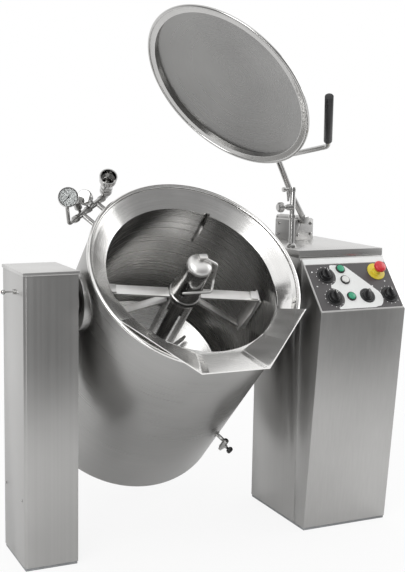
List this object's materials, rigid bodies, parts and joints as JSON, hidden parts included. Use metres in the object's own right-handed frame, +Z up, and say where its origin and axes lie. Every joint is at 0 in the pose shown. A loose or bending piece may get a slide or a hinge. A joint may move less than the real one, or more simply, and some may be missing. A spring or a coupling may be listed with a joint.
{
  "type": "steam jacketed kettle",
  "caption": "Floor standing steam jacketed kettle on two pillars, tilted forward, with a hinged lid, a scraper mixer, a pouring lip, a steam valve group and a control pillar.",
  "frame": {"origin": "on the floor under the middle of the kettle's bounding box, in the pose that is stored", "axes": "+Z up, +Y to the back, away from the operator, +X towards the control pillar on the operator's right"},
  "size_m": [1.267, 1.0753, 1.64],
  "materials": {
    "stainless_satin": "satin brushed",
    "stainless_polished": "polished",
    "frame_steel": "satin paint",
    "bearing_iron": "painted casting",
    "panel_grey": "matt printed foil",
    "black_plastic": "fine texture",
    "white_plastic": "satin",
    "green_plastic": "gloss",
    "red_plastic": "gloss",
    "yellow_plastic": "gloss"
  },
  "bodies": {
    "stand": {"left_frame": "frame_steel", "left_casing": "stainless_satin", "left_cap": "stainless_satin", "left_fittings": "stainless_polished", "trunnion_bearings": "bearing_iron", "right_frame": "frame_steel", "right_casing": "stainless_satin", "right_front_cover": "stainless_satin", "control_panel": "stainless_satin", "panel_overlay": "panel_grey", "top_cover": "stainless_satin", "tilt_gearmotor": "frame_steel", "hinge_console": "stainless_satin", "hinge_block": "stainless_satin", "fasteners": "stainless_polished", "button_bezels": "black_plastic", "estop_collar": "yellow_plastic", "tap_column": "stainless_polished"},
    "kettle": {"kettle_rim": "stainless_polished", "pouring_lip": "stainless_satin", "kettle_bowl": "stainless_satin", "steam_jacket": "stainless_satin", "trunnion_ring": "stainless_satin", "kettle_casing": "stainless_satin", "kettle_bottom": "stainless_satin", "trunnions": "stainless_satin", "mixer_gearmotor": "frame_steel", "valve_manifold": "stainless_polished", "vent_cup": "stainless_polished", "kettle_valves": "stainless_polished", "pressure_gauge": "stainless_polished", "level_cock": "stainless_polished", "probe_strip": "stainless_polished"},
    "mixer": {"mixer_shaft": "stainless_satin", "mixer_head": "stainless_polished", "mixer_cap": "stainless_polished", "mixer_latch": "stainless_polished", "mixer_rails": "stainless_satin", "mixer_arms": "stainless_satin", "mixer_blades": "stainless_satin", "mixer_scrapers": "white_plastic"},
    "lid": {"lid_rim": "stainless_polished", "lid_panel": "stainless_satin", "lid_arm": "stainless_satin", "lid_hinge_pin": "stainless_polished", "lid_handle": "stainless_polished", "lid_grip": "black_plastic"},
    "temperature_knob": {"knob_temperature": "black_plastic"},
    "timer_knob": {"knob_timer": "black_plastic"},
    "speed_knob": {"knob_speed": "black_plastic"},
    "selector": {"selector_switch": "black_plastic"},
    "start_button": {"button_start": "green_plastic"},
    "mix_button": {"button_mix": "green_plastic"},
    "light_button": {"button_light": "white_plastic"},
    "stop_button": {"estop_button": "red_plastic"},
    "tap_wheel": {"tap_handwheel": "stainless_polished"},
    "tap_nozzle": {"tap_spout": "stainless_polished"},
    "level_knob": {"level_cock_knob": "black_plastic"},
    "valve_cap": {"safety_valve_knob": "stainless_polished"}
  },
  "joints": [
    {"name": "kettle_tilt", "type": "hinge", "parent": "stand", "child": "kettle", "pos_m": [-0.0565, -0.16475, 0.763], "axis": [1, 0, 0], "range_deg": [-47.06, 43]},
    {"name": "lid_open", "type": "hinge", "parent": "stand", "child": "lid", "pos_m": [0.52039, 0.03502, 0.973], "axis": [-0.3272, 0.9449, 0], "range_deg": [-50.65, 46.4]},
    {"name": "mixer_drive", "type": "hinge", "parent": "kettle", "child": "mixer", "pos_m": [-0.0565, -0.26665, 0.85783], "axis": [0, -0.7321, 0.6812], "continuous": true},
    {"name": "temperature_turn", "type": "hinge", "parent": "stand", "child": "temperature_knob", "pos_m": [0.3825, -0.28379, 0.82209], "axis": [0, -0.7544, 0.6564], "range_deg": [-135, 135]},
    {"name": "timer_turn", "type": "hinge", "parent": "stand", "child": "timer_knob", "pos_m": [0.3839, -0.33827, 0.75947], "axis": [0, -0.7544, 0.6564], "range_deg": [-135, 135]},
    {"name": "speed_turn", "type": "hinge", "parent": "stand", "child": "speed_knob", "pos_m": [0.5915, -0.33762, 0.76023], "axis": [0, -0.7544, 0.6564], "range_deg": [-135, 135]},
    {"name": "selector_turn", "type": "hinge", "parent": "stand", "child": "selector", "pos_m": [0.5075, -0.33696, 0.76098], "axis": [0, -0.7544, 0.6564], "range_deg": [-50, 50]},
    {"name": "start_press", "type": "slide", "parent": "stand", "child": "start_button", "axis": [0, 0.7544, -0.6564], "range_m": [0, 0.0025], "stiffness_N_per_m": 400},
    {"name": "mix_press", "type": "slide", "parent": "stand", "child": "mix_button", "axis": [0, 0.7544, -0.6564], "range_m": [0, 0.0025], "stiffness_N_per_m": 400},
    {"name": "light_press", "type": "slide", "parent": "stand", "child": "light_button", "axis": [0, 0.7544, -0.6564], "range_m": [0, 0.0025], "stiffness_N_per_m": 400},
    {"name": "stop_press", "type": "slide", "parent": "stand", "child": "stop_button", "axis": [0, 0.7544, -0.6564], "range_m": [0, 0.004], "stiffness_N_per_m": 900},
    {"name": "tap_wheel_turn", "type": "hinge", "parent": "stand", "child": "tap_wheel", "pos_m": [0.3455, -0.13075, 1.031], "axis": [-1, 0, 0], "range_deg": [0, 360]},
    {"name": "tap_nozzle_swivel", "type": "hinge", "parent": "stand", "child": "tap_nozzle", "pos_m": [0.3455, -0.13075, 1.081], "axis": [0, 0, 1], "range_deg": [-140, 140]},
    {"name": "level_knob_turn", "type": "hinge", "parent": "kettle", "child": "level_knob", "pos_m": [0.15834, -0.06297, 0.22825], "axis": [0.5548, -0.5668, -0.609], "range_deg": [0, 90]},
    {"name": "valve_cap_turn", "type": "hinge", "parent": "kettle", "child": "valve_cap", "pos_m": [-0.31787, -0.05741, 1.04012], "axis": [-0.4766, -0.8339, 0.2782], "range_deg": [0, 180]}
  ],
  "couplings": [
    {"joint": "lid_open", "follows": "kettle_tilt", "ratio": 1.0752}
  ]
}
